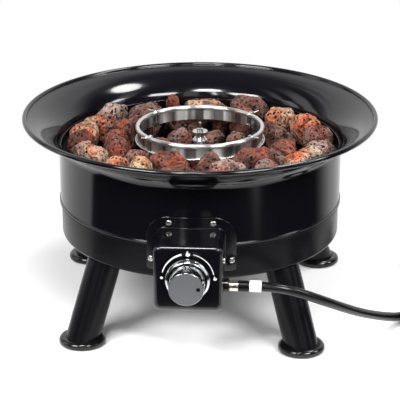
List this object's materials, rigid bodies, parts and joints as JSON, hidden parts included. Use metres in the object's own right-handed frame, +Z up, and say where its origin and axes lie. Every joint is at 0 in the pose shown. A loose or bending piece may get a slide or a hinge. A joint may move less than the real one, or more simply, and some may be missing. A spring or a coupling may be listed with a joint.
{
  "type": "outdoor_gas_fireplace",
  "caption": "Portable round gas fire bowl: flared black bowl with lava rocks and a steel fire ring, splayed tube legs, a front control box with a knob, and a coiled gas hose.",
  "frame": {"origin": "On the floor, midway between the rim's ends in X and midway between the knob's front and the rim's back in Y.", "axes": "+Z is up. -Y is the side with the control box and knob. +X is to the right of someone who faces the knob."},
  "size_m": [0.7211, 0.5319, 0.2795],
  "materials": {
    "gloss_enamel": "gloss black enamel on pressed steel",
    "satin_black": "satin black powder coat on sheet steel",
    "black_plastic": "moulded black plastic, lightly glossy",
    "satin_aluminium": "satin spun aluminium disc",
    "stainless": "brushed stainless steel",
    "plated_steel": "bright zinc-plated steel",
    "brass": "machined brass",
    "lava_rock": "rough porous lava rock in mixed reds, tans and browns",
    "hose_rubber": "smooth black gas hose",
    "black_steel": "black crimped steel ferrule",
    "white_plastic": "plain white plastic sleeve",
    "grey_casting": "cast zinc body with a matt finish"
  },
  "bodies": {
    "fire_bowl_body": {"base_pan": "satin_black", "box_screws": "plated_steel", "burner_base": "plated_steel", "burner_cap": "plated_steel", "burner_lock_nut": "plated_steel", "burner_nut": "stainless", "burner_posts": "stainless", "burner_stud": "stainless", "clip_nuts": "stainless", "coil_tie": "black_plastic", "control_box": "satin_black", "fire_bowl": "gloss_enamel", "fire_pan": "gloss_enamel", "fire_ring": "stainless", "foot_front_left": "black_plastic", "foot_front_right": "black_plastic", "foot_rear_left": "black_plastic", "foot_rear_right": "black_plastic", "gas_hose": "hose_rubber", "gas_jet": "brass", "hose_coil": "hose_rubber", "hose_collar": "black_plastic", "hose_ferrule": "black_steel", "hose_fitting": "plated_steel", "hose_tag": "white_plastic", "inlet_union": "brass", "lava_rocks_core": "lava_rock", "lava_rocks_inner": "lava_rock", "lava_rocks_outer": "lava_rock", "leg_bolts": "plated_steel", "leg_front_left": "satin_black", "leg_front_right": "satin_black", "leg_plugs": "black_plastic", "leg_rear_left": "satin_black", "leg_rear_right": "satin_black", "mixing_tube": "plated_steel", "panel_nut": "plated_steel", "regulator_body": "grey_casting", "regulator_cover": "grey_casting", "regulator_ferrule": "black_steel", "regulator_nipple": "brass", "ring_clips": "stainless", "ring_hoop": "stainless", "ring_legs": "stainless", "ring_struts": "stainless", "stem_spring": "stainless", "tube_flange": "plated_steel", "valve_body": "brass"},
    "stem_slide": {"thrust_washer": "plated_steel"},
    "knob": {"control_knob": "black_plastic", "knob_face": "satin_aluminium", "valve_stem": "brass"},
    "cylinder_nut": {"tank_nut": "black_plastic"}
  },
  "joints": [
    {"name": "knob_push", "type": "slide", "parent": "fire_bowl_body", "child": "stem_slide", "axis": [0, 1, 0], "range_m": [0, 0.003], "stiffness_N_per_m": 800, "deforming": ["stem_spring"]},
    {"name": "knob_turn", "type": "hinge", "parent": "stem_slide", "child": "knob", "pos_m": [0, -0.245, 0.144], "axis": [0, -1, 0], "range_deg": [0, 180]},
    {"name": "tank_nut_spin", "type": "hinge", "parent": "fire_bowl_body", "child": "cylinder_nut", "pos_m": [0.3357, 0.17327, 0.0207], "axis": [0, 1, 0], "continuous": true}
  ]
}
